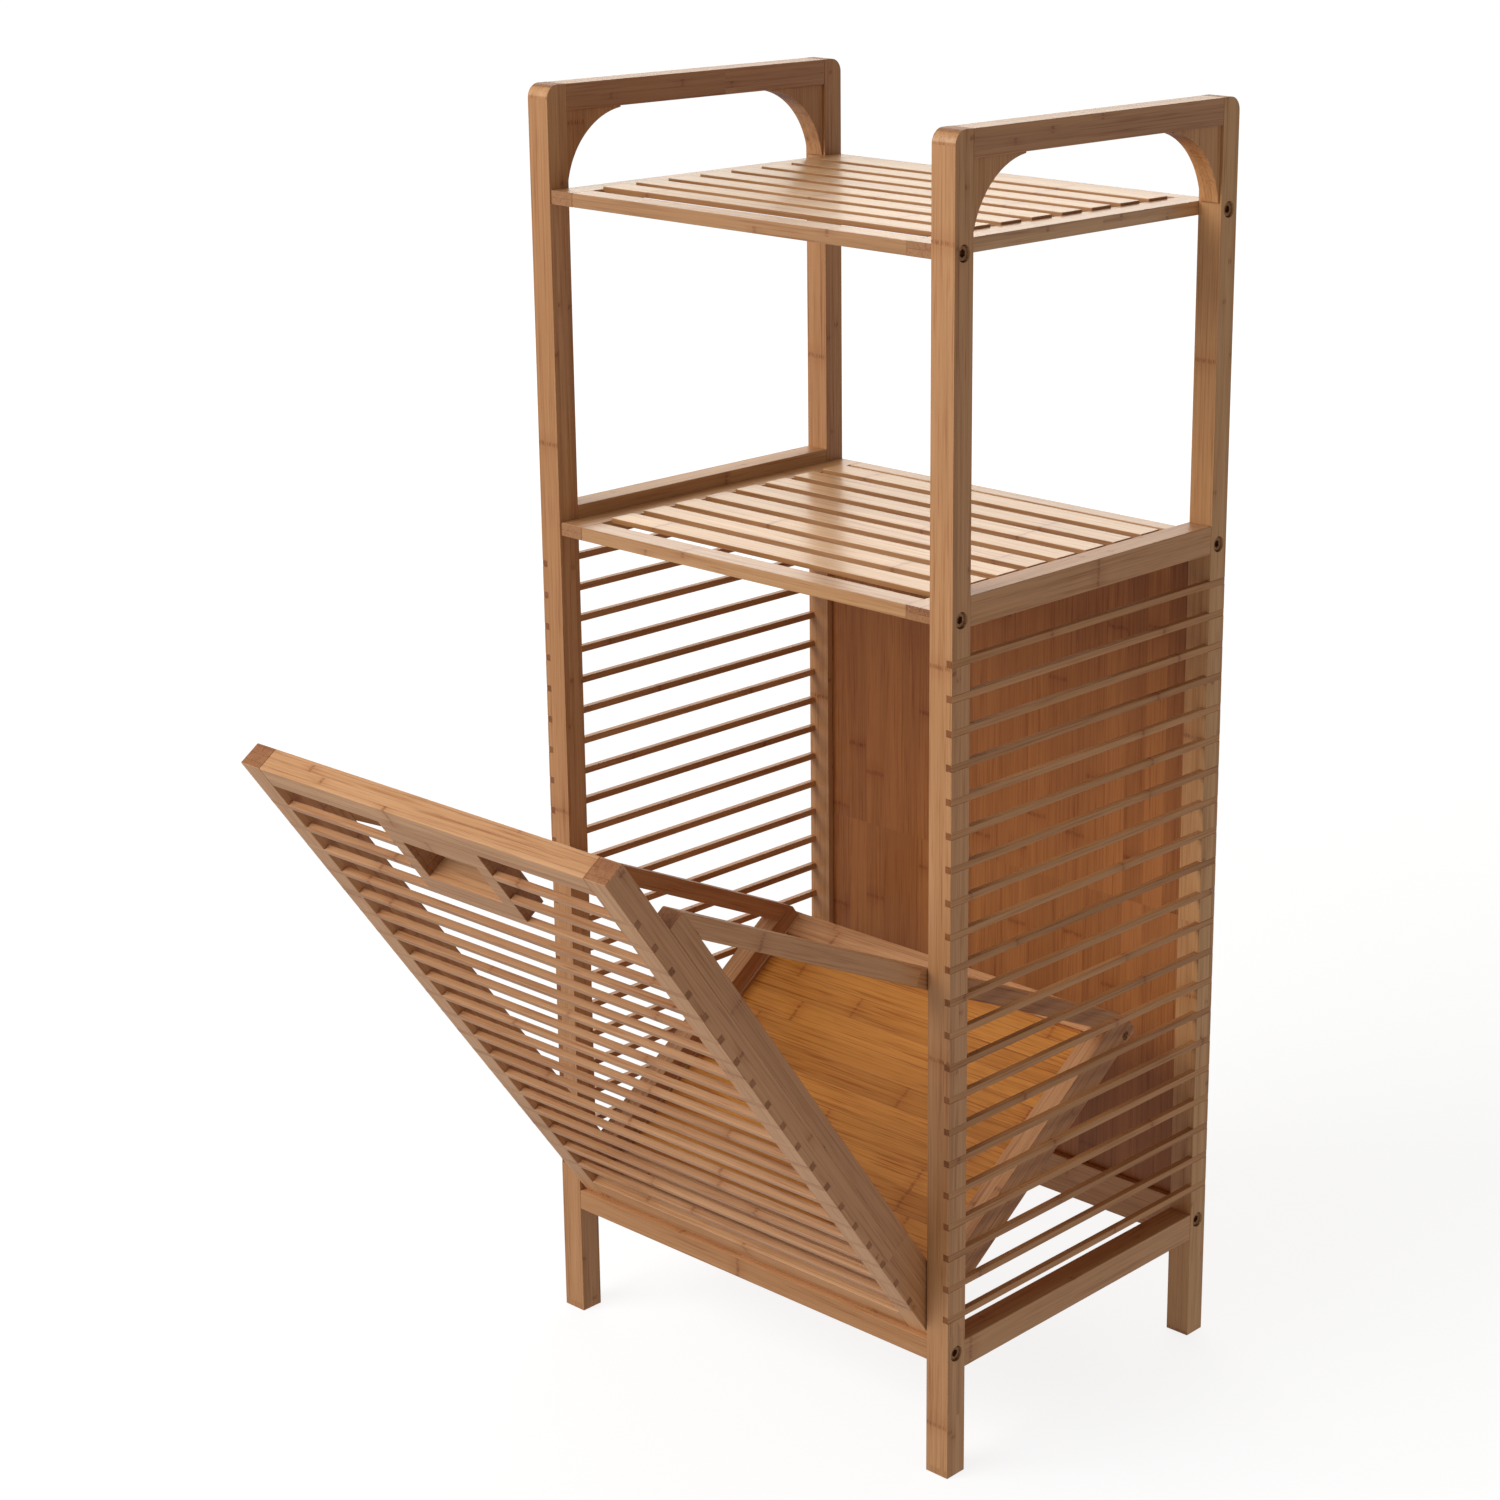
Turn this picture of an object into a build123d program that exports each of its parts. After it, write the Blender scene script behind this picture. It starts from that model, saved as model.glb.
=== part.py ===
from build123d import *
import math
import os

# Bamboo laundry tower: two side frames joined by two slatted shelves, with a
# tilt-out bin below that turns on two hidden steel pins. Millimetres.
# X runs across, Y from front to back, Z up. The bin is written open on its stop.

# ---- overall tower
WIDTH = 400.0
DEPTH = 300.0
HEIGHT = 950.0
POST_X = 20.0
POST_Y = 18.0
TOP_ROUND = 10.0

# ---- side frames
TOP_RAIL_H = 19.0
GUSSET_R = 60.0
GUSSET_X = 16.0
GUSSET_REACH = 54.0
MID_RAIL_Z = 625.0
MID_RAIL_H = 21.0
BASE_RAIL_Z = 82.0
BASE_RAIL_H = 21.0
SLAT = 5.0
SLAT_PITCH = 23.9
SIDE_SLATS = 21
SIDE_SLAT_LOW = 124.4

# ---- shelves
SHELF_T = 10.0
TOP_SHELF_Z = 867.0
MID_SHELF_Z = 626.0
SHELF_SET_BACK = 1.0
SHELF_END_W = 22.0
SHELF_RAIL_TO = 20.0
SHELF_SLAT_T = 4.0
SHELF_SLAT_PROUD = 2.0
SHELF_SLAT_W = 21.6
SHELF_PITCH = 31.9
SHELF_FIRST_SLAT = 30.4
SHELF_REAR_FROM = 285.3
SHELF_SLATS = 8

# ---- cross rails and back
FRONT_RAIL_Z = 88.0
FRONT_RAIL_H = 15.5
REAR_RAIL_Z = 80.0
REAR_RAIL_H = 32.0
BACK_T = 6.0
BACK_Y = 287.0

# ---- bolts (M6 socket head in a counterbore, steel insert nut behind)
BOLT_R = 3.0
BOLT_HOLE_R = 3.2
HEAD_R = 5.0
HEAD_H = 5.5
BORE_R = 5.8
BORE_DEPTH = 7.0
SOCKET_AF = 5.0
SOCKET_DEPTH = 3.5
INSERT_R = 4.0
INSERT_L = 14.0
BOLT_L = 24.0

# ---- bin: heights are measured up the door, depths back from its front face
BIN_GAP = 1.25
DOOR_H = 513.0
DOOR_T = 18.0
STILE_W = 20.0
DOOR_TOP_H = 18.0
DOOR_BOTTOM_H = 20.0
DOOR_SLATS = 19
DOOR_SLAT_LOW = 41.9
PULL_W = 98.0
PULL_OPEN_W = 72.0
PULL_OPEN_H = 35.5
PULL_BAR_H = 15.8
FRAME_X = 18.0
FRAME_W = 14.0
APEX_U = 448.0
BRACE_ANGLE = 30.0
FLOOR_T = 12.0
FLOOR_REAR = 280.0
SIDE_REAR = 278.0
FLOOR_RAIL_W = 20.0
FLOOR_BOARD_T = 7.0
FLOOR_BOARD_DROP = 2.5
SCREW_R = 1.75
SCREW_HEAD_R = 3.5
SCREW_L = 32.0

# ---- hinge
PIN_R = 2.5
PIN_CLEARANCE = 0.05
PIN_UP = 6.5
PIN_BACK = 8.0
PIN_IN_STILE = 14.0
PIN_IN_POST = 10.0
OPEN_ANGLE = 35.2
STOP_GAP = 0.05

OPEN = math.radians(OPEN_ANGLE)
HALF = WIDTH / 2
INNER = HALF - POST_X
BIN_HALF = INNER - BIN_GAP
FRONT_RAIL_TOP = FRONT_RAIL_Z + FRONT_RAIL_H
# The open stop is the door's lower front arris landing on the front base rail.
PIN_Y = PIN_BACK
PIN_Z = FRONT_RAIL_TOP + STOP_GAP + PIN_UP * math.cos(OPEN) + PIN_BACK * math.sin(OPEN)
DOOR_Z = PIN_Z - PIN_UP
# The frame's origin is the middle of the footprint with the bin open.
FRONT_MOST = PIN_Y - (DOOR_H - PIN_UP) * math.sin(OPEN) - PIN_BACK * math.cos(OPEN)
SHIFT_Y = -(DEPTH + FRONT_MOST) / 2

os.makedirs("parts", exist_ok=True)


def block(x0, x1, y0, y1, z0, z1):
    """A plain piece of stock between two opposite corners."""
    size = Box(x1 - x0, y1 - y0, z1 - z0)
    return Pos((x0 + x1) / 2, (y0 + y1) / 2, (z0 + z1) / 2) * size


def rod(radius, x0, x1, y, z):
    """A round piece or hole along X."""
    cylinder = Cylinder(radius, abs(x1 - x0), rotation=(0, 90, 0))
    return Pos((x0 + x1) / 2, y, z) * cylinder


def side_profile(points, x0, x1):
    """A flat piece cut to a (y, z) outline, standing between two X planes."""
    outline = Plane.YZ * Polyline(*points, close=True)
    face = make_face(outline)
    return Pos(x0, 0, 0) * extrude(face, x1 - x0, dir=(1, 0, 0))


def put(name, solids, tilted=False):
    """Writes one piece, or one group of like pieces, in the shared frame."""
    if not isinstance(solids, list):
        solids = [solids]
    placed = []
    for solid in solids:
        if tilted:
            solid = solid.rotate(Axis((0, PIN_Y, PIN_Z), (1, 0, 0)), OPEN_ANGLE)
        moved = Pos(0, SHIFT_Y, 0) * solid
        placed.extend(moved.solids())
    shape = placed[0] if len(placed) == 1 else Compound(children=placed)
    export_step(shape, "parts/" + name + ".step")


def mirrored(x0, x1, side):
    """X span on the left (side -1) or the right (side +1)."""
    return (x0, x1) if side > 0 else (-x1, -x0)


SIDES = {"left": -1, "right": 1}
BOLT_LEVELS = [
    TOP_SHELF_Z + SHELF_T / 2,
    MID_SHELF_Z + SHELF_T / 2,
    FRONT_RAIL_Z + FRONT_RAIL_H / 2,
]
side_slat_z = [SIDE_SLAT_LOW + SLAT_PITCH * k for k in range(SIDE_SLATS)]

# ---- side frames
for side_name, side in SIDES.items():
    bolt_inner, bolt_outer = INNER, HALF
    for end_name in ("front", "rear"):
        front = end_name == "front"
        y0, y1 = (0.0, POST_Y) if front else (DEPTH - POST_Y, DEPTH)
        y_mid = (y0 + y1) / 2
        x0, x1 = mirrored(INNER, HALF, side)
        post = block(x0, x1, y0, y1, 0.0, HEIGHT)
        top_edges = post.edges().filter_by(Axis.X).group_by(Axis.Z)[-1].sort_by(Axis.Y)
        corner = top_edges[0] if front else top_edges[-1]
        post = fillet(corner, TOP_ROUND)
        for z in side_slat_z:
            gx0, gx1 = mirrored(HALF - SLAT, HALF, side)
            post -= block(gx0, gx1, y0, y1, z - SLAT / 2, z + SLAT / 2)
        for z in BOLT_LEVELS:
            post -= rod(BOLT_HOLE_R, side * INNER, side * HALF, y_mid, z)
            post -= rod(BORE_R, side * (HALF - BORE_DEPTH), side * HALF, y_mid, z)
        if front:
            hole_r = PIN_R + PIN_CLEARANCE
            post -= rod(hole_r, side * INNER, side * (INNER + PIN_IN_POST + 0.5), PIN_Y, PIN_Z)
        put("post_" + end_name + "_" + side_name, post)

        # Quarter-round bracket under the handle rail, a little thinner than it.
        gx0, gx1 = mirrored(HALF - (POST_X + GUSSET_X) / 2, HALF - (POST_X - GUSSET_X) / 2, side)
        under = HEIGHT - TOP_RAIL_H
        shelf_top = TOP_SHELF_Z + SHELF_T
        gusset = block(gx0, gx1, POST_Y, POST_Y + GUSSET_REACH, shelf_top, under)
        hollow_y = POST_Y + 1.0 + GUSSET_R
        hollow_z = under - 1.0 - GUSSET_R
        gusset -= rod(GUSSET_R, gx0 - 1, gx1 + 1, hollow_y, hollow_z)
        if not front:
            gusset = mirror(gusset, Plane.XZ.offset(-DEPTH / 2))
        put("gusset_" + end_name + "_" + side_name, gusset)

    x0, x1 = mirrored(INNER, HALF, side)
    rear = DEPTH - POST_Y
    put("handle_rail_" + side_name, block(x0, x1, POST_Y, rear, HEIGHT - TOP_RAIL_H, HEIGHT))
    put("mid_rail_" + side_name, block(x0, x1, POST_Y, rear, MID_RAIL_Z, MID_RAIL_Z + MID_RAIL_H))
    put("base_rail_" + side_name, block(x0, x1, POST_Y, rear, BASE_RAIL_Z, BASE_RAIL_Z + BASE_RAIL_H))
    sx0, sx1 = mirrored(HALF - SLAT, HALF, side)
    slats = [block(sx0, sx1, 0.0, DEPTH, z - SLAT / 2, z + SLAT / 2) for z in side_slat_z]
    put("side_slats_" + side_name, slats)

# ---- shelves: two end rails, front and rear rails, and slats between slots
shelf_front = SHELF_SET_BACK
shelf_rear = DEPTH - SHELF_SET_BACK
shelf_slat_y = [SHELF_FIRST_SLAT + SHELF_PITCH * k for k in range(SHELF_SLATS)]
for shelf_name, z0 in (("top_shelf", TOP_SHELF_Z), ("mid_shelf", MID_SHELF_Z)):
    z1 = z0 + SHELF_T
    span = INNER - SHELF_END_W
    for side_name, side in SIDES.items():
        x0, x1 = mirrored(span, INNER, side)
        end_rail = block(x0, x1, shelf_front, shelf_rear, z0, z1)
        for y in (POST_Y / 2, DEPTH - POST_Y / 2):
            end_rail -= rod(INSERT_R, side * (INNER - INSERT_L), side * INNER, y, (z0 + z1) / 2)
        put(shelf_name + "_end_" + side_name, end_rail)
    front_rail = block(-span, span, shelf_front, SHELF_RAIL_TO, z0, z1)
    put(shelf_name + "_front_rail", front_rail)
    rear_rail = block(-span, span, SHELF_REAR_FROM, shelf_rear, z0, z1)
    put(shelf_name + "_rear_rail", rear_rail)
    slat_top = z1 + SHELF_SLAT_PROUD
    slats = []
    for y0 in shelf_slat_y:
        slats.append(block(-span, span, y0, y0 + SHELF_SLAT_W, slat_top - SHELF_SLAT_T, slat_top))
    put(shelf_name + "_slats", slats)

# ---- cross rails at the base, and the back
front_rail = block(-INNER, INNER, 0.0, POST_Y, FRONT_RAIL_Z, FRONT_RAIL_TOP)
rear_rail = block(-INNER, INNER, DEPTH - POST_Y, DEPTH, REAR_RAIL_Z, REAR_RAIL_Z + REAR_RAIL_H)
for side in SIDES.values():
    deep = side * (INNER - INSERT_L)
    front_rail -= rod(INSERT_R, deep, side * INNER, POST_Y / 2, BOLT_LEVELS[2])
    rear_rail -= rod(INSERT_R, deep, side * INNER, DEPTH - POST_Y / 2, BOLT_LEVELS[2])
put("cross_rail_front", front_rail)
put("cross_rail_rear", rear_rail)
back = block(-INNER, INNER, BACK_Y, BACK_Y + BACK_T, REAR_RAIL_Z + REAR_RAIL_H, MID_SHELF_Z)
put("back_panel", back)

# ---- bolts and their insert nuts
bolts, inserts = [], []
for side in SIDES.values():
    for y in (POST_Y / 2, DEPTH - POST_Y / 2):
        for z in BOLT_LEVELS:
            seat = side * (HALF - BORE_DEPTH)
            tip = side * (HALF - BORE_DEPTH - BOLT_L)
            head_top = side * (HALF - BORE_DEPTH + HEAD_H)
            bolt = rod(HEAD_R, seat, head_top, y, z) + rod(BOLT_R, tip, seat, y, z)
            hexagon = extrude(RegularPolygon(SOCKET_AF / 2, 6, major_radius=False), SOCKET_DEPTH)
            turned = Pos(head_top, y, z) * Rot(0, -90 * side, 0) * hexagon
            bolts.append(bolt - turned)
            sleeve = rod(INSERT_R, side * (INNER - INSERT_L), side * INNER, y, z)
            inserts.append(sleeve - rod(BOLT_R, side * (INNER - INSERT_L), side * INNER, y, z))
put("frame_bolts", bolts)
put("insert_nuts", inserts)

# ---- the door of the bin, built shut and then turned open
door_slat_u = [DOOR_SLAT_LOW + SLAT_PITCH * k for k in range(DOOR_SLATS)]
rail_under = DOOR_H - DOOR_TOP_H
pull_low = door_slat_u[-3] + SLAT / 2
stile_in = BIN_HALF - STILE_W


def up(u):
    """Height of a point a distance u up the closed door."""
    return DOOR_Z + u


for side_name, side in SIDES.items():
    x0, x1 = mirrored(stile_in, BIN_HALF, side)
    stile = block(x0, x1, 0.0, DOOR_T, up(0), up(DOOR_H))
    for u in door_slat_u:
        stile -= block(x0, x1, 0.0, SLAT, up(u - SLAT / 2), up(u + SLAT / 2))
    stile -= rod(PIN_R, side * (BIN_HALF - PIN_IN_STILE), side * BIN_HALF, PIN_Y, PIN_Z)
    put("door_stile_" + side_name, stile, tilted=True)
    pin = rod(PIN_R, side * (BIN_HALF - PIN_IN_STILE), side * (INNER + PIN_IN_POST), PIN_Y, PIN_Z)
    put("pivot_pin_" + side_name, pin, tilted=True)

put("door_top_rail", block(-stile_in, stile_in, 0.0, DOOR_T, up(rail_under), up(DOOR_H)), tilted=True)
door_low = block(-stile_in, stile_in, 0.0, DOOR_T, up(0), up(DOOR_BOTTOM_H))
put("door_bottom_rail", door_low, tilted=True)

long_slats, short_slats = [], []
for u in door_slat_u:
    if u - SLAT / 2 < pull_low:
        long_slats.append(block(-BIN_HALF, BIN_HALF, 0.0, SLAT, up(u - SLAT / 2), up(u + SLAT / 2)))
    else:
        for side in SIDES.values():
            x0, x1 = mirrored(PULL_W / 2, BIN_HALF, side)
            short_slats.append(block(x0, x1, 0.0, SLAT, up(u - SLAT / 2), up(u + SLAT / 2)))
put("door_slats", long_slats, tilted=True)
put("door_slats_beside_pull", short_slats, tilted=True)

pull = block(-PULL_W / 2, PULL_W / 2, 0.0, DOOR_T, up(pull_low), up(rail_under))
grip_low = pull_low + PULL_BAR_H
grip_half = PULL_OPEN_W / 2
pull -= block(-grip_half, grip_half, -1.0, DOOR_T + 1.0, up(grip_low), up(grip_low + PULL_OPEN_H))
put("door_pull", pull, tilted=True)

# ---- triangular sides of the bin: upright, sill and a brace at 30 degrees
slope = 1 / math.tan(math.radians(90 - BRACE_ANGLE))
upright_rear = DOOR_T + FRAME_W
sill_top = FLOOR_T + FRAME_W


def brace_y(u):
    """Depth of the brace's outer edge at height u."""
    return upright_rear + (APEX_U - u) * slope


brace_in = FRAME_W / math.cos(math.radians(BRACE_ANGLE))
u_meet = APEX_U - brace_in / slope
chamfer_u = APEX_U - (SIDE_REAR - upright_rear) / slope
for side_name, side in SIDES.items():
    x0, x1 = mirrored(BIN_HALF - FRAME_X, BIN_HALF, side)
    upright = block(x0, x1, DOOR_T, upright_rear, up(FLOOR_T), up(APEX_U))
    put("bin_upright_" + side_name, upright, tilted=True)
    brace_points = [
        (upright_rear, up(APEX_U)),
        (brace_y(sill_top), up(sill_top)),
        (brace_y(sill_top) - brace_in, up(sill_top)),
        (upright_rear, up(u_meet)),
    ]
    put("bin_brace_" + side_name, side_profile(brace_points, x0, x1), tilted=True)
    sill_points = [
        (upright_rear, up(FLOOR_T)),
        (SIDE_REAR, up(FLOOR_T)),
        (SIDE_REAR, up(chamfer_u)),
        (brace_y(sill_top), up(sill_top)),
        (upright_rear, up(sill_top)),
    ]
    put("bin_sill_" + side_name, side_profile(sill_points, x0, x1), tilted=True)

# ---- floor of the bin: a frame of four rails around a sunk board
floor_in = BIN_HALF - FLOOR_RAIL_W
rear_face = FLOOR_REAR - FLOOR_RAIL_W
screw_u = FLOOR_T / 2
screw_y = FLOOR_REAR - FLOOR_RAIL_W / 2
front_screw_y = DOOR_T + FLOOR_RAIL_W / 2
screws = []
front_bar = block(-floor_in, floor_in, DOOR_T, DOOR_T + FLOOR_RAIL_W, up(0), up(FLOOR_T))
rear_bar = block(-floor_in, floor_in, rear_face, FLOOR_REAR, up(0), up(FLOOR_T))
for side_name, side in SIDES.items():
    x0, x1 = mirrored(floor_in, BIN_HALF, side)
    rail = block(x0, x1, DOOR_T, FLOOR_REAR, up(0), up(FLOOR_T))
    for y in (front_screw_y, screw_y):
        head_in = side * (BIN_HALF - 3.0)
        tip = side * (BIN_HALF - SCREW_L)
        shank = rod(SCREW_R, tip, head_in, y, up(screw_u))
        hole = rod(SCREW_HEAD_R, head_in, side * BIN_HALF, y, up(screw_u))
        rail -= shank + hole
        if y == screw_y:
            rear_bar -= shank
        else:
            front_bar -= shank
        head = rod(SCREW_HEAD_R, head_in, side * (BIN_HALF - 1.0), y, up(screw_u))
        cross = block(-0.5, 0.5, -2.2, 2.2, -0.45, 0.45) + block(-0.5, 0.5, -0.45, 0.45, -2.2, 2.2)
        cross = Pos(side * (BIN_HALF - 1.3), y, up(screw_u)) * cross
        screws.append(shank + head - cross)
    put("floor_rail_" + side_name, rail, tilted=True)
put("floor_rail_front", front_bar, tilted=True)
put("floor_rail_rear", rear_bar, tilted=True)
board_top = FLOOR_T - FLOOR_BOARD_DROP
board = block(-floor_in, floor_in, DOOR_T + FLOOR_RAIL_W, rear_face, up(board_top - FLOOR_BOARD_T), up(board_top))
put("floor_board", board, tilted=True)
put("floor_screws", screws, tilted=True)
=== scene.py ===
import itertools
import math

import bmesh
import bpy
from mathutils import Matrix, Vector


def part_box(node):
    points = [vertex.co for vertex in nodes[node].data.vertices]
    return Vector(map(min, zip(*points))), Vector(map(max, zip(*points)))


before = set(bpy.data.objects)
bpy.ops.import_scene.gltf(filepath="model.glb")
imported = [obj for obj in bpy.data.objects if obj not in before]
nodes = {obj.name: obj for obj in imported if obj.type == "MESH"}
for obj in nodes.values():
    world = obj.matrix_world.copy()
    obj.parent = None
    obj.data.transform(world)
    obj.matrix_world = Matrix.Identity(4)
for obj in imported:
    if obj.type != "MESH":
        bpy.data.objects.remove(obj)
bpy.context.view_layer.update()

# Every length is in metres and every angle in degrees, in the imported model's frame.
OPEN_ANGLE = 35.2
BRACE_SLOPE = 30.0
STRIP_WIDTH = 0.020
LAYER_THICKNESS = 0.005
KNUCKLE_SPACING = 0.28
SLAT = 0.005
SLAT_PITCH = 0.0239
SLAT_GAP = SLAT_PITCH - SLAT
LAYER_MARGIN = 0.0005
SHELF_SLAT_WIDTH = 0.0216
SHELF_PITCH = 0.0319
ARRIS = 0.0006
SLAT_ARRIS = 0.0004

scene = bpy.context.scene
scene.view_settings.view_transform = "Standard"
scene.view_settings.look = "None"


# ---------------------------------------------------------------- node helpers
def link(tree, out_socket, in_socket):
    tree.links.new(out_socket, in_socket)


def math_node(tree, operation, *values):
    """A Math node; each value is a number or an output socket."""
    node = tree.nodes.new("ShaderNodeMath")
    node.operation = operation
    for socket, value in zip(node.inputs, values):
        if isinstance(value, (int, float)):
            socket.default_value = value
        else:
            link(tree, value, socket)
    return node.outputs[0]


def combine(tree, x, y, z):
    node = tree.nodes.new("ShaderNodeCombineXYZ")
    for socket, value in zip(node.inputs, (x, y, z)):
        link(tree, value, socket)
    return node.outputs[0]


def separate(tree, vector):
    node = tree.nodes.new("ShaderNodeSeparateXYZ")
    link(tree, vector, node.inputs[0])
    return node.outputs[0], node.outputs[1], node.outputs[2]


def noise(tree, vector, scale, detail, roughness):
    node = tree.nodes.new("ShaderNodeTexNoise")
    link(tree, vector, node.inputs["Vector"])
    node.inputs["Scale"].default_value = scale
    node.inputs["Detail"].default_value = detail
    node.inputs["Roughness"].default_value = roughness
    return node.outputs["Fac"]


def white(tree, vector):
    node = tree.nodes.new("ShaderNodeTexWhiteNoise")
    node.noise_dimensions = "3D"
    link(tree, vector, node.inputs["Vector"])
    return node.outputs["Value"]


def ramp(tree, value, low, high, out_low=0.0, out_high=1.0):
    """A smooth step of value from low to high."""
    node = tree.nodes.new("ShaderNodeMapRange")
    node.interpolation_type = "SMOOTHSTEP"
    link(tree, value, node.inputs["Value"])
    node.inputs["From Min"].default_value = low
    node.inputs["From Max"].default_value = high
    node.inputs["To Min"].default_value = out_low
    node.inputs["To Max"].default_value = out_high
    return node.outputs["Result"]


def mix_colour(tree, factor, a, b, blend="MIX"):
    """Blends b over a; each of the two is a colour or an output socket."""
    node = tree.nodes.new("ShaderNodeMix")
    node.data_type = "RGBA"
    node.blend_type = blend
    node.clamp_factor = True
    link(tree, factor, node.inputs[0])
    for socket, value in ((node.inputs[6], a), (node.inputs[7], b)):
        if isinstance(value, (tuple, list)):
            socket.default_value = (*value, 1.0)
        else:
            link(tree, value, socket)
    return node.outputs[2]


# ------------------------------------------------------- the bamboo node group
def make_bamboo_group():
    """Laminated bamboo. X of the vector runs along the fibres, Y across the
    strips' width and Z through the layers. Strip, Layer and Knuckle are sizes;
    Streaks scales the dark fibres, and the input after it paints shade on the
    strips' side faces."""
    tree = bpy.data.node_groups.new("bamboo_surface", "ShaderNodeTree")
    face = tree.interface

    def socket(name, kind, default, direction="INPUT"):
        made = face.new_socket(name=name, in_out=direction, socket_type=kind)
        if default is not None:
            made.default_value = default
        return made

    socket("Vector", "NodeSocketVector", None)
    socket("Normal", "NodeSocketVector", None)
    socket("Strip", "NodeSocketFloat", STRIP_WIDTH)
    socket("Layer", "NodeSocketFloat", LAYER_THICKNESS)
    socket("Seed", "NodeSocketFloat", 0.0)
    socket("Knuckle", "NodeSocketFloat", KNUCKLE_SPACING)
    socket("Streaks", "NodeSocketFloat", 1.0)
    socket("Side Shade", "NodeSocketFloat", 0.0)
    socket("Light", "NodeSocketColor", (0.6, 0.4, 0.2, 1.0))
    socket("Dark", "NodeSocketColor", (0.4, 0.2, 0.1, 1.0))
    socket("Color", "NodeSocketColor", None, "OUTPUT")
    socket("Roughness", "NodeSocketFloat", None, "OUTPUT")
    socket("Height", "NodeSocketFloat", None, "OUTPUT")
    given = tree.nodes.new("NodeGroupInput").outputs
    result = tree.nodes.new("NodeGroupOutput").inputs

    along, across, deep = separate(tree, given["Vector"])
    strip_pos = math_node(tree, "DIVIDE", across, given["Strip"])
    layer_pos = math_node(tree, "DIVIDE", deep, given["Layer"])
    strip_no = math_node(tree, "FLOOR", strip_pos)
    layer_no = math_node(tree, "FLOOR", layer_pos)
    strip_id = white(tree, combine(tree, strip_no, layer_no, given["Seed"]))

    # Knuckles: one every stem joint, at its own height in every strip, with a
    # line that is a little ragged.
    wave = noise(tree, combine(tree, math_node(tree, "MULTIPLY", along, 20.0),
                               math_node(tree, "MULTIPLY", across, 160.0),
                               math_node(tree, "MULTIPLY", deep, 160.0)), 1.0, 3.0, 0.6)
    wobble = math_node(tree, "MULTIPLY_ADD", wave, 0.003, -0.0015)
    shifted = math_node(tree, "ADD", along, wobble)
    joint_pos = math_node(tree, "MULTIPLY_ADD", strip_id, 7.31,
                          math_node(tree, "DIVIDE", shifted, given["Knuckle"]))
    joint_no = math_node(tree, "FLOOR", joint_pos)
    joint_gap = math_node(tree, "SUBTRACT", 0.5, math_node(
        tree, "ABSOLUTE", math_node(tree, "SUBTRACT", math_node(tree, "FRACT", joint_pos), 0.5)))
    joint_dist = math_node(tree, "MULTIPLY", joint_gap, given["Knuckle"])
    joint_line = ramp(tree, joint_dist, 0.0004, 0.0026, 1.0, 0.0)
    joint_halo = ramp(tree, joint_dist, 0.001, 0.014, 1.0, 0.0)
    segment_id = white(tree, combine(tree, math_node(tree, "ADD", strip_no, 31.7), layer_no,
                                     math_node(tree, "ADD", joint_no, given["Seed"])))

    # Fibres: long pale and dark streaks, then short thin vessels.
    seed_shift = math_node(tree, "MULTIPLY", given["Seed"], 3.17)
    strip_shift = math_node(tree, "MULTIPLY_ADD", strip_id, 57.0, seed_shift)

    def fibre(per_m_along, per_m_across, detail, roughness, extra):
        """Noise drawn out along the fibres, different in every strip."""
        start = math_node(tree, "ADD", strip_shift, extra)
        vector = combine(
            tree,
            math_node(tree, "MULTIPLY_ADD", along, per_m_along, start),
            math_node(tree, "MULTIPLY", across, per_m_across),
            math_node(tree, "MULTIPLY", deep, per_m_across))
        return noise(tree, vector, 1.0, detail, roughness)

    broad = fibre(3.5, 130.0, 2.0, 0.5, 0.0)
    fine = fibre(9.0, 620.0, 3.0, 0.65, 11.0)
    vessel = fibre(26.0, 1300.0, 1.0, 0.5, 23.0)
    bundle = fibre(13.0, 360.0, 2.0, 0.6, 41.0)
    ragged = fibre(90.0, 900.0, 2.0, 0.6, 5.0)
    cloud = noise(tree, combine(tree, math_node(tree, "MULTIPLY_ADD", along, 6.0, seed_shift),
                                math_node(tree, "MULTIPLY", across, 14.0),
                                math_node(tree, "MULTIPLY", deep, 14.0)), 1.0, 2.0, 0.5)

    tone = math_node(tree, "MULTIPLY", strip_id, 0.26)
    tone = math_node(tree, "MULTIPLY_ADD", segment_id, 0.14, tone)
    tone = math_node(tree, "MULTIPLY_ADD", broad, 0.46, tone)
    tone = math_node(tree, "MULTIPLY_ADD", cloud, 0.26, tone)
    tone = math_node(tree, "MULTIPLY_ADD", fine, 0.66, tone)
    tone = ramp(tree, tone, 0.42, 1.34)
    colour = mix_colour(tree, tone, given["Light"], given["Dark"])

    dark_fibre = math_node(tree, "MULTIPLY", ramp(tree, fine, 0.52, 0.74), given["Streaks"])
    dark_vessel = math_node(tree, "MULTIPLY", ramp(tree, vessel, 0.60, 0.78), given["Streaks"])
    dark_bundle = math_node(tree, "MULTIPLY", ramp(tree, bundle, 0.54, 0.72), given["Streaks"])
    colour = mix_colour(tree, math_node(tree, "MULTIPLY", dark_fibre, 0.60), colour,
                        (0.74, 0.60, 0.46), "MULTIPLY")
    colour = mix_colour(tree, math_node(tree, "MULTIPLY", dark_vessel, 0.55), colour,
                        (0.66, 0.50, 0.36), "MULTIPLY")
    colour = mix_colour(tree, math_node(tree, "MULTIPLY", dark_bundle, 0.62), colour,
                        (0.70, 0.54, 0.40), "MULTIPLY")

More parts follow.
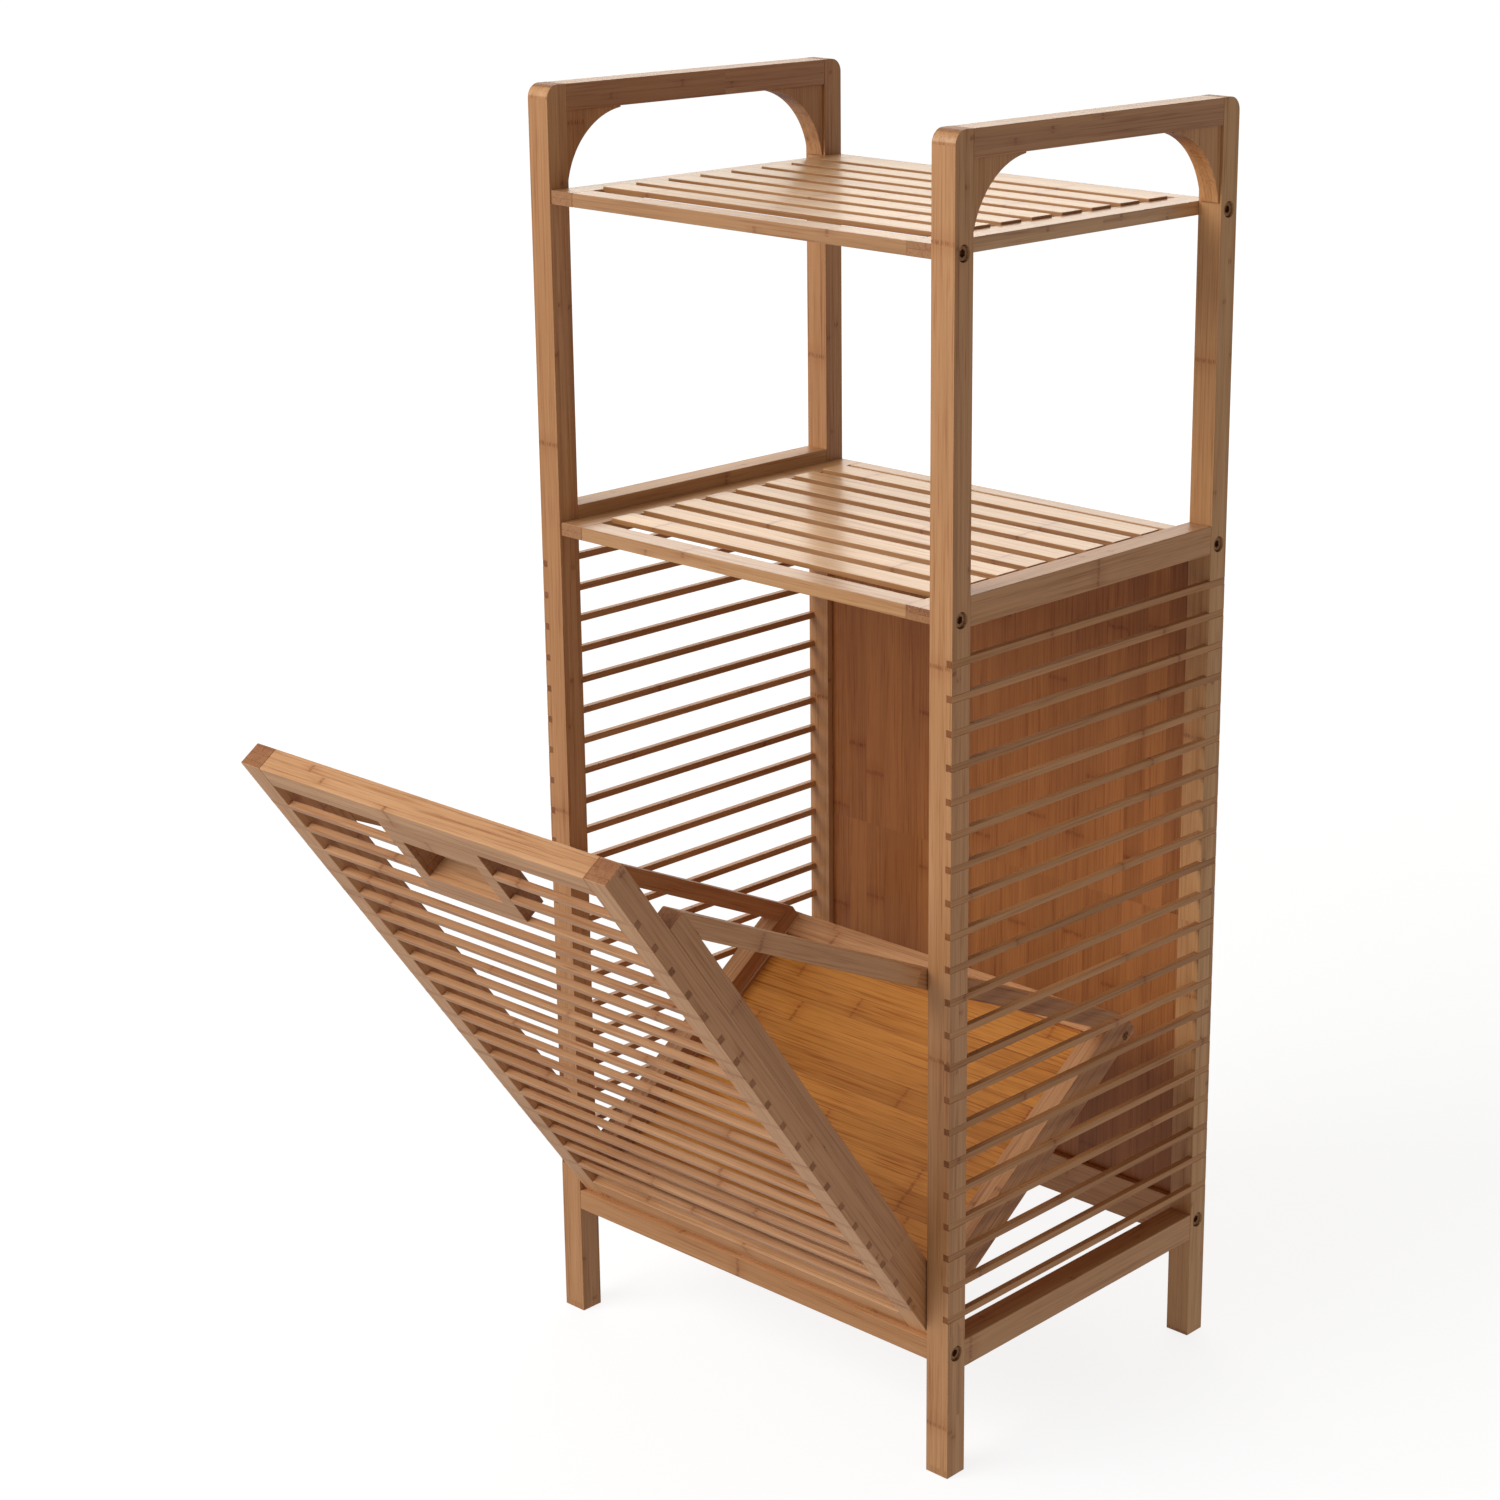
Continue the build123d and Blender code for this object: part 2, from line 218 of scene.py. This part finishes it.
    # The joint between two strips is a hair line.
    seam_pos = math_node(tree, "SUBTRACT", 0.5, math_node(
        tree, "ABSOLUTE", math_node(tree, "SUBTRACT", math_node(tree, "FRACT", strip_pos), 0.5)))
    seam = ramp(tree, math_node(tree, "MULTIPLY", seam_pos, given["Strip"]), 0.00012, 0.00050, 1.0, 0.0)
    glue_pos = math_node(tree, "SUBTRACT", 0.5, math_node(
        tree, "ABSOLUTE", math_node(tree, "SUBTRACT", math_node(tree, "FRACT", layer_pos), 0.5)))
    glue = ramp(tree, math_node(tree, "MULTIPLY", glue_pos, given["Layer"]), 0.00008, 0.0003, 1.0, 0.0)
    lines = math_node(tree, "MAXIMUM", seam, glue)
    colour = mix_colour(tree, math_node(tree, "MULTIPLY", lines, 0.45), colour,
                        (0.52, 0.36, 0.24), "MULTIPLY")

    broken = ramp(tree, ragged, 0.36, 0.60)
    knuckle = math_node(tree, "MULTIPLY", joint_line, broken)
    colour = mix_colour(tree, math_node(tree, "MULTIPLY", joint_halo, 0.30), colour,
                        (0.76, 0.58, 0.44), "MULTIPLY")
    colour = mix_colour(tree, math_node(tree, "MULTIPLY", knuckle, 0.66), colour,
                        (0.50, 0.32, 0.20), "MULTIPLY")

    # Painted shade: the strips' side faces are darkened, by the input after Streaks. End grain drinks
    # more lacquer: darker, with dots.
    end_x, end_y, _ = separate(tree, given["Normal"])
    edge = ramp(tree, math_node(tree, "ABSOLUTE", end_y), 0.72, 0.93)
    colour = mix_colour(tree, math_node(tree, "MULTIPLY", edge, given["Side Shade"]), colour,
                        (0.55, 0.45, 0.36), "MULTIPLY")
    end = ramp(tree, math_node(tree, "ABSOLUTE", end_x), 0.72, 0.93)
    colour = mix_colour(tree, math_node(tree, "MULTIPLY", end, 1.0), colour,
                        (0.56, 0.44, 0.36), "MULTIPLY")
    link(tree, colour, result["Color"])

    rough = math_node(tree, "MULTIPLY_ADD", fine, 0.16, 0.34)
    rough = math_node(tree, "MULTIPLY_ADD", end, 0.14, rough)
    link(tree, rough, result["Roughness"])

    height = math_node(tree, "MULTIPLY", fine, -0.45)
    height = math_node(tree, "MULTIPLY_ADD", vessel, -0.25, height)
    height = math_node(tree, "MULTIPLY_ADD", lines, -0.9, height)
    height = math_node(tree, "MULTIPLY_ADD", knuckle, -0.5, height)
    link(tree, height, result["Height"])
    return tree


BAMBOO = make_bamboo_group()

# Linear colours of the lacquered bamboo, pale side and dark side of its range.
FAMILIES = {
    "frame": ((0.77, 0.44, 0.215), (0.51, 0.250, 0.100)),
    "rail": ((0.67, 0.34, 0.145), (0.43, 0.190, 0.066)),
    "shelf": ((0.82, 0.50, 0.235), (0.58, 0.305, 0.125)),
    "bin": ((0.77, 0.425, 0.208), (0.51, 0.238, 0.096)),
    "back": ((0.59, 0.242, 0.070), (0.37, 0.134, 0.035)),
    "slats": ((0.57, 0.275, 0.108), (0.36, 0.150, 0.048)),
    "door": ((0.69, 0.375, 0.184), (0.455, 0.208, 0.088)),
    "board": ((0.76, 0.320, 0.062), (0.46, 0.165, 0.026)),
}

AXES = {"X": Vector((1, 0, 0)), "Y": Vector((0, 1, 0)), "Z": Vector((0, 0, 1))}


def grain_turn(grain, face, tilt):
    """The rotation that brings the fibres to X and the layers' normal to Z,
    after turning a tilted member back by tilt degrees about X."""
    along, normal = AXES[grain], AXES[face]
    across = normal.cross(along)
    turn = Matrix((along, across, normal))
    return turn @ Matrix.Rotation(math.radians(-tilt), 3, "X")


def bamboo(name, family, grain, face, origin, seed, tilt=0.0, strip=STRIP_WIDTH,
           layer=LAYER_THICKNESS, streaks=1.0, edge=0.0, coat=0.12, coat_rough=0.18, specular=0.32):
    """A bamboo material for one member. grain and face are the axes of its
    fibres and its broad face, and origin is a point on a strip's edge."""
    material = bpy.data.materials.new(name)
    material.use_nodes = True
    tree = material.node_tree
    tree.nodes.clear()
    place = tree.nodes.new("ShaderNodeTexCoord")
    turn = grain_turn(grain, face, tilt)
    mapping = tree.nodes.new("ShaderNodeMapping")
    mapping.vector_type = "POINT"
    mapping.inputs["Rotation"].default_value = turn.to_euler("XYZ")
    mapping.inputs["Location"].default_value = -(turn @ Vector(origin))
    link(tree, place.outputs["Object"], mapping.inputs["Vector"])
    facing = tree.nodes.new("ShaderNodeMapping")
    facing.vector_type = "VECTOR"
    facing.inputs["Rotation"].default_value = turn.to_euler("XYZ")
    link(tree, place.outputs["Normal"], facing.inputs["Vector"])
    group = tree.nodes.new("ShaderNodeGroup")
    group.node_tree = BAMBOO
    link(tree, mapping.outputs["Vector"], group.inputs["Vector"])
    link(tree, facing.outputs["Vector"], group.inputs["Normal"])
    light, dark = FAMILIES[family]
    group.inputs["Strip"].default_value = strip
    group.inputs["Layer"].default_value = layer
    group.inputs["Seed"].default_value = seed
    group.inputs["Knuckle"].default_value = KNUCKLE_SPACING
    group.inputs["Streaks"].default_value = streaks
    # The side-face strength is painted shade on the strips' side faces.
    group.inputs["Side Shade"].default_value = edge
    group.inputs["Light"].default_value = (*light, 1.0)
    group.inputs["Dark"].default_value = (*dark, 1.0)
    bump_node = tree.nodes.new("ShaderNodeBump")
    bump_node.inputs["Strength"].default_value = 0.6
    bump_node.inputs["Distance"].default_value = 0.00022
    link(tree, group.outputs["Height"], bump_node.inputs["Height"])
    shader = tree.nodes.new("ShaderNodeBsdfPrincipled")
    link(tree, group.outputs["Color"], shader.inputs["Base Color"])
    link(tree, group.outputs["Roughness"], shader.inputs["Roughness"])
    link(tree, bump_node.outputs["Normal"], shader.inputs["Normal"])
    shader.inputs["IOR"].default_value = 1.5
    shader.inputs["Specular IOR Level"].default_value = specular
    shader.inputs["Coat Weight"].default_value = coat
    shader.inputs["Coat Roughness"].default_value = coat_rough
    shader.inputs["Coat IOR"].default_value = 1.5
    output = tree.nodes.new("ShaderNodeOutputMaterial")
    link(tree, shader.outputs["BSDF"], output.inputs["Surface"])
    return material


def metal(name, colour, roughness, worn):
    """Turned steel with a thin finish that is rubbed in places."""
    material = bpy.data.materials.new(name)
    material.use_nodes = True
    tree = material.node_tree
    tree.nodes.clear()
    place = tree.nodes.new("ShaderNodeTexCoord")
    coarse = noise(tree, place.outputs["Object"], 420.0, 3.0, 0.6)
    turned = noise(tree, place.outputs["Object"], 2600.0, 2.0, 0.5)
    rubbed = ramp(tree, coarse, 0.48, 0.72)
    tint = mix_colour(tree, math_node(tree, "MULTIPLY", rubbed, 0.5), colour, worn)
    shader = tree.nodes.new("ShaderNodeBsdfPrincipled")
    link(tree, tint, shader.inputs["Base Color"])
    link(tree, math_node(tree, "MULTIPLY_ADD", turned, 0.18, roughness), shader.inputs["Roughness"])
    shader.inputs["Metallic"].default_value = 1.0
    bump_node = tree.nodes.new("ShaderNodeBump")
    bump_node.inputs["Strength"].default_value = 0.3
    bump_node.inputs["Distance"].default_value = 0.0001
    link(tree, turned, bump_node.inputs["Height"])
    link(tree, bump_node.outputs["Normal"], shader.inputs["Normal"])
    output = tree.nodes.new("ShaderNodeOutputMaterial")
    link(tree, shader.outputs["BSDF"], output.inputs["Surface"])
    return material


# ------------------------------------------------------------- member by member
def corner(name):
    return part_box(name)[0]


def ease_edges(obj, width):
    """Breaks the sharp arrises of a CAD piece; its own mesh isn't changed."""
    weld = obj.modifiers.new("weld", "WELD")
    weld.merge_threshold = 0.00001
    flat = obj.modifiers.new("flat", "DECIMATE")
    flat.decimate_type = "DISSOLVE"
    flat.angle_limit = math.radians(0.4)
    bevel = obj.modifiers.new("eased", "BEVEL")
    bevel.width = width
    bevel.segments = 2
    bevel.limit_method = "ANGLE"
    bevel.angle_limit = math.radians(40)
    bevel.use_clamp_overlap = True
    bevel.harden_normals = False
    smooth = obj.modifiers.new("normals", "WEIGHTED_NORMAL")
    smooth.keep_sharp = False
    smooth.weight = 60


def dress(name, material, ease):
    obj = nodes[name]
    obj.data.materials.clear()
    obj.data.materials.append(material)
    if ease:
        ease_edges(obj, ease)


member_numbers = itertools.count(1)


def member(name, family, slot_name, grain, face, ease=ARRIS, **options):
    """Gives a piece its own bamboo; no two members have the same figure."""
    options.setdefault("origin", corner(name))
    seed = 3.0 + 1.37 * next(member_numbers)
    material = bamboo("bamboo_" + name, family, grain, face, seed=seed, **options)
    dress(name, material, ease)


THICK_LAYER = {"layer": 0.006}
SIDE_RAIL = {"layer": 0.005, "strip": 0.021}

for side in ("left", "right"):
    for end in ("front", "rear"):
        # Painted light: the rear right post takes the paler shelf colours where the other posts take
        # the frame colours.
        family = "shelf" if (end, side) == ("rear", "right") else "frame"
        member(f"post_{end}_{side}", family, "tower_frame", "Z", "Y", layer=0.0046)
        member(f"gusset_{end}_{side}", "rail", "tower_frame", "Z", "X", layer=0.0054, strip=0.019)
    member(f"handle_rail_{side}", "rail", "tower_frame", "Y", "Z", layer=0.0048, coat=0.4)
    # Painted light: the left mid rail takes the paler shelf colours, standing in for light that bounces
    # up onto it from the shelf.
    family = "shelf" if side == "left" else "frame"
    member(f"mid_rail_{side}", family, "tower_frame", "Y", "X", **SIDE_RAIL)
    member(f"base_rail_{side}", "frame", "tower_frame", "Y", "X", **SIDE_RAIL)
    low = corner(f"side_slats_{side}") - Vector((LAYER_MARGIN, 0, SLAT_GAP / 2))
    member(f"side_slats_{side}", "slats", "slats", "Y", "X", ease=SLAT_ARRIS,
           strip=SLAT_PITCH, origin=low, **THICK_LAYER)
    member(f"door_stile_{side}", "bin", "bin_frame", "Z", "Y", tilt=OPEN_ANGLE, **THICK_LAYER)
    member(f"bin_upright_{side}", "bin", "bin_frame", "Z", "X", tilt=OPEN_ANGLE, **THICK_LAYER)
    member(f"bin_brace_{side}", "bin", "bin_frame", "Z", "X", tilt=OPEN_ANGLE + BRACE_SLOPE,
           **THICK_LAYER)
    member(f"bin_sill_{side}", "bin", "bin_frame", "Y", "X", tilt=OPEN_ANGLE, **THICK_LAYER)
    member(f"floor_rail_{side}", "bin", "floor", "Y", "Z", tilt=OPEN_ANGLE, **THICK_LAYER)

# The shelves' tops shine most. Painted shade darkens the side faces of their slats and of their front
# rails.
GLOSSY = {"coat": 0.6, "coat_rough": 0.22, "specular": 0.45}
for shelf, front_edge in (("top_shelf", 0.5), ("mid_shelf", 0.1)):
    for side in ("left", "right"):
        member(f"{shelf}_end_{side}", "shelf", "shelves", "Y", "Z", strip=0.022, **GLOSSY)
    member(f"{shelf}_front_rail", "shelf", "shelves", "X", "Z",
           strip=0.020, edge=front_edge, **GLOSSY)
    member(f"{shelf}_rear_rail", "shelf", "shelves", "X", "Z", strip=0.020, **GLOSSY)
    low = corner(f"{shelf}_slats") - Vector((0, (SHELF_PITCH - SHELF_SLAT_WIDTH) / 2, 0))
    member(f"{shelf}_slats", "shelf", "shelves", "X", "Z",
           strip=SHELF_PITCH, origin=low, edge=1.0, **GLOSSY)

member("cross_rail_front", "frame", "tower_frame", "X", "Y", **THICK_LAYER)
member("cross_rail_rear", "frame", "tower_frame", "X", "Y", strip=0.016, **THICK_LAYER)
member("back_panel", "back", "back", "Z", "Y", layer=0.007, strip=0.0189, streaks=1.2)
for rail in ("front", "rear"):
    member(f"floor_rail_{rail}", "bin", "floor", "X", "Z", tilt=OPEN_ANGLE, **THICK_LAYER)
member("floor_board", "board", "floor", "X", "Z", tilt=OPEN_ANGLE,
       layer=0.008, strip=0.0192, streaks=1.5)
for rail in ("top", "bottom"):
    member(f"door_{rail}_rail", "bin", "bin_frame", "X", "Y", tilt=OPEN_ANGLE, **THICK_LAYER)
member("door_pull", "bin", "bin_frame", "X", "Y", tilt=OPEN_ANGLE, **THICK_LAYER)

# The strips of the door's slats are measured with the door turned shut.
turned_back = Matrix.Rotation(math.radians(-OPEN_ANGLE), 3, "X")
for group_name in ("door_slats", "door_slats_beside_pull"):
    shut = [turned_back @ v.co for v in nodes[group_name].data.vertices]
    low = Vector((min(p.x for p in shut), min(p.y for p in shut), min(p.z for p in shut)))
    low -= Vector((0, LAYER_MARGIN, SLAT_GAP / 2))
    member(group_name, "door", "slats", "X", "Y", ease=SLAT_ARRIS, tilt=OPEN_ANGLE,
           strip=SLAT_PITCH, layer=0.007, origin=turned_back.inverted() @ low)

bronze = metal("bronzed_steel", (0.32, 0.17, 0.085), 0.42, (0.48, 0.30, 0.17))
zinc = metal("zinc_steel", (0.42, 0.41, 0.39), 0.30, (0.24, 0.23, 0.22))
dress("frame_bolts", bronze, ease=0.00025)
dress("floor_screws", bronze, ease=0.00015)
dress("insert_nuts", zinc, ease=0)
for side in ("left", "right"):
    dress(f"pivot_pin_{side}", zinc, ease=0.0003)


# ------------------------------------------------------------------ the studio
FLOOR_GLOW = 0.84
FAR_GLOW = 0.96


def stage_object(name, mesh, material):
    mesh.materials.append(material)
    obj = bpy.data.objects.new(name, mesh)
    scene.collection.objects.link(obj)
    obj.visible_diffuse = False
    obj.visible_glossy = False
    return obj


def glowing(name):
    """A matt surface that also glows white; returns it with its shader."""
    material = bpy.data.materials.new(name)
    material.use_nodes = True
    shader = material.node_tree.nodes["Principled BSDF"]
    shader.inputs["Emission Color"].default_value = (1.0, 1.0, 1.0, 1.0)
    shader.inputs["Roughness"].default_value = 0.9
    shader.inputs["Specular IOR Level"].default_value = 0.0
    return material, shader


def floor_material():
    """The floor glows white, painted dimmer near the object and brighter further out; near the object
    the lamps also cast a soft shadow on it.
    """
    material, shader = glowing("pale_floor")
    tree = material.node_tree
    place = tree.nodes.new("ShaderNodeTexCoord")
    length = tree.nodes.new("ShaderNodeVectorMath")
    length.operation = "LENGTH"
    link(tree, place.outputs["Object"], length.inputs[0])
    glow = ramp(tree, length.outputs["Value"], 0.8, 5.0, FLOOR_GLOW, FAR_GLOW)
    link(tree, glow, shader.inputs["Emission Strength"])
    fleck = noise(tree, place.outputs["Object"], 3.0, 2.0, 0.5)
    pale = mix_colour(tree, fleck, (0.22,) * 3, (0.2266,) * 3)
    link(tree, pale, shader.inputs["Base Color"])
    return material


def backdrop_material():
    material, shader = glowing("pale_backdrop")
    shader.inputs["Emission Strength"].default_value = FAR_GLOW
    shader.inputs["Base Color"].default_value = (0.0, 0.0, 0.0, 1.0)
    return material


def studio_set():
    """A plain white floor, and a plain white dome far behind everything."""
    half = 30.0
    corners = [(-half, -half, 0), (half, -half, 0), (half, half, 0), (-half, half, 0)]
    sheet = bpy.data.meshes.new("studio_floor")
    sheet.from_pydata(corners, [], [(0, 1, 2, 3)])
    stage_object("studio_floor", sheet, floor_material())
    dome = bpy.data.meshes.new("studio_dome")
    builder = bmesh.new()
    bmesh.ops.create_uvsphere(builder, u_segments=48, v_segments=24, radius=29.0)
    builder.to_mesh(dome)
    builder.free()
    backdrop = stage_object("studio_dome", dome, backdrop_material())
    backdrop.visible_shadow = False


def soft_box(name, place, target, width, height, radiance, colour=(1, 1, 1)):
    """A rectangular lamp of that radiance, aimed at the target."""
    lamp = bpy.data.lights.new(name, "AREA")
    lamp.shape = "RECTANGLE"
    lamp.size = width
    lamp.size_y = height
    lamp.energy = radiance * math.pi * width * height
    lamp.color = colour
    obj = bpy.data.objects.new(name, lamp)
    scene.collection.objects.link(obj)
    obj.location = place
    aim = Vector(target) - Vector(place)
    obj.rotation_euler = aim.to_track_quat("-Z", "Y").to_euler()
    obj.visible_camera = False


def studio_world(above, below):
    """Even light from the room above, and from the floor's bounce below."""
    world = bpy.data.worlds.new("studio")
    scene.world = world
    world.use_nodes = True
    tree = world.node_tree
    place = tree.nodes.new("ShaderNodeTexCoord")
    height = separate(tree, place.outputs["Generated"])[2]
    background = tree.nodes["Background"]
    background.inputs["Color"].default_value = (1.0, 1.0, 1.0, 1.0)
    link(tree, ramp(tree, height, -0.06, 0.06, below, above), background.inputs["Strength"])


studio_set()
studio_world(0.26, 0.46)
soft_box("key", (-1.3, -3.1, 2.7), (0, 0, 0.5), 3.2, 2.6, radiance=5.2)
soft_box("rear", (-2.9, 3.4, 2.7), (0, 0, 0.8), 5.0, 2.4, radiance=2.3,
         colour=(1.0, 0.92, 0.81))
soft_box("low_fill", (1.5, 0.0, 0.1), (0, 0, 0.1), 1.2, 0.5, radiance=1.2)

# ------------------------------------------------------------------ the camera
# The frame's width, the focal length and the optical centre share one unit.
IMAGE = 1500.0
FOCAL = 3135.709
CENTRE_U, CENTRE_V = 1002.137, 690.031
lens = bpy.data.cameras.new("camera")
lens.sensor_width = 36.0
lens.lens = FOCAL / IMAGE * lens.sensor_width
lens.shift_x = (IMAGE / 2 - CENTRE_U) / IMAGE
lens.shift_y = (CENTRE_V - IMAGE / 2) / IMAGE
lens.clip_start = 0.05
lens.clip_end = 100.0
camera = bpy.data.objects.new("camera", lens)
scene.collection.objects.link(camera)
right = Vector((0.76183743, 0.64768144, 0.01060591))
up = Vector((-0.19326648, 0.21164212, 0.95804785))
ahead = Vector((-0.61826515, 0.73192648, -0.286412))
turn = Matrix((right, up, -ahead)).transposed().to_4x4()
camera_place = Matrix.Translation((1.499469, -1.492121, 1.176270))
camera.matrix_world = camera_place @ turn
scene.camera = camera
